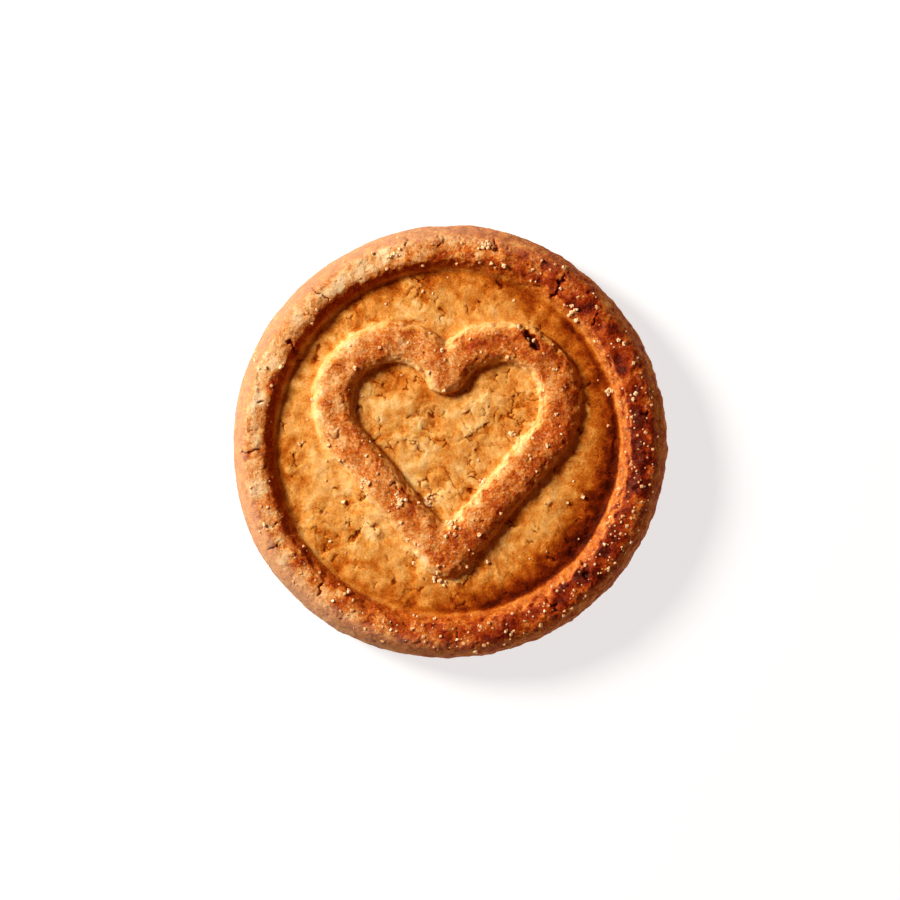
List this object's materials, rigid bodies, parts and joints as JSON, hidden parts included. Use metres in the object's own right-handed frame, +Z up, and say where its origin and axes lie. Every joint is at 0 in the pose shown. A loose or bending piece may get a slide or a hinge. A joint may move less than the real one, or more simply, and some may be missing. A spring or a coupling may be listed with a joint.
{
  "type": "shortbread biscuit",
  "caption": "Round moulded shortbread biscuit with a raised rim, a shallow dish and a raised heart outline, a piece of food that lies flat on a plate.",
  "frame": {"origin": "middle of the flat base", "axes": "+Z up out of the top face, square to the base; +Y towards the lobes of the heart; +X to the right with the heart upright, seen from above"},
  "size_m": [0.065, 0.065, 0.0096],
  "materials": {
    "crust": "matte",
    "sugar": "satin"
  },
  "bodies": {
    "root": {"biscuit": "crust"}
  },
  "joints": []
}
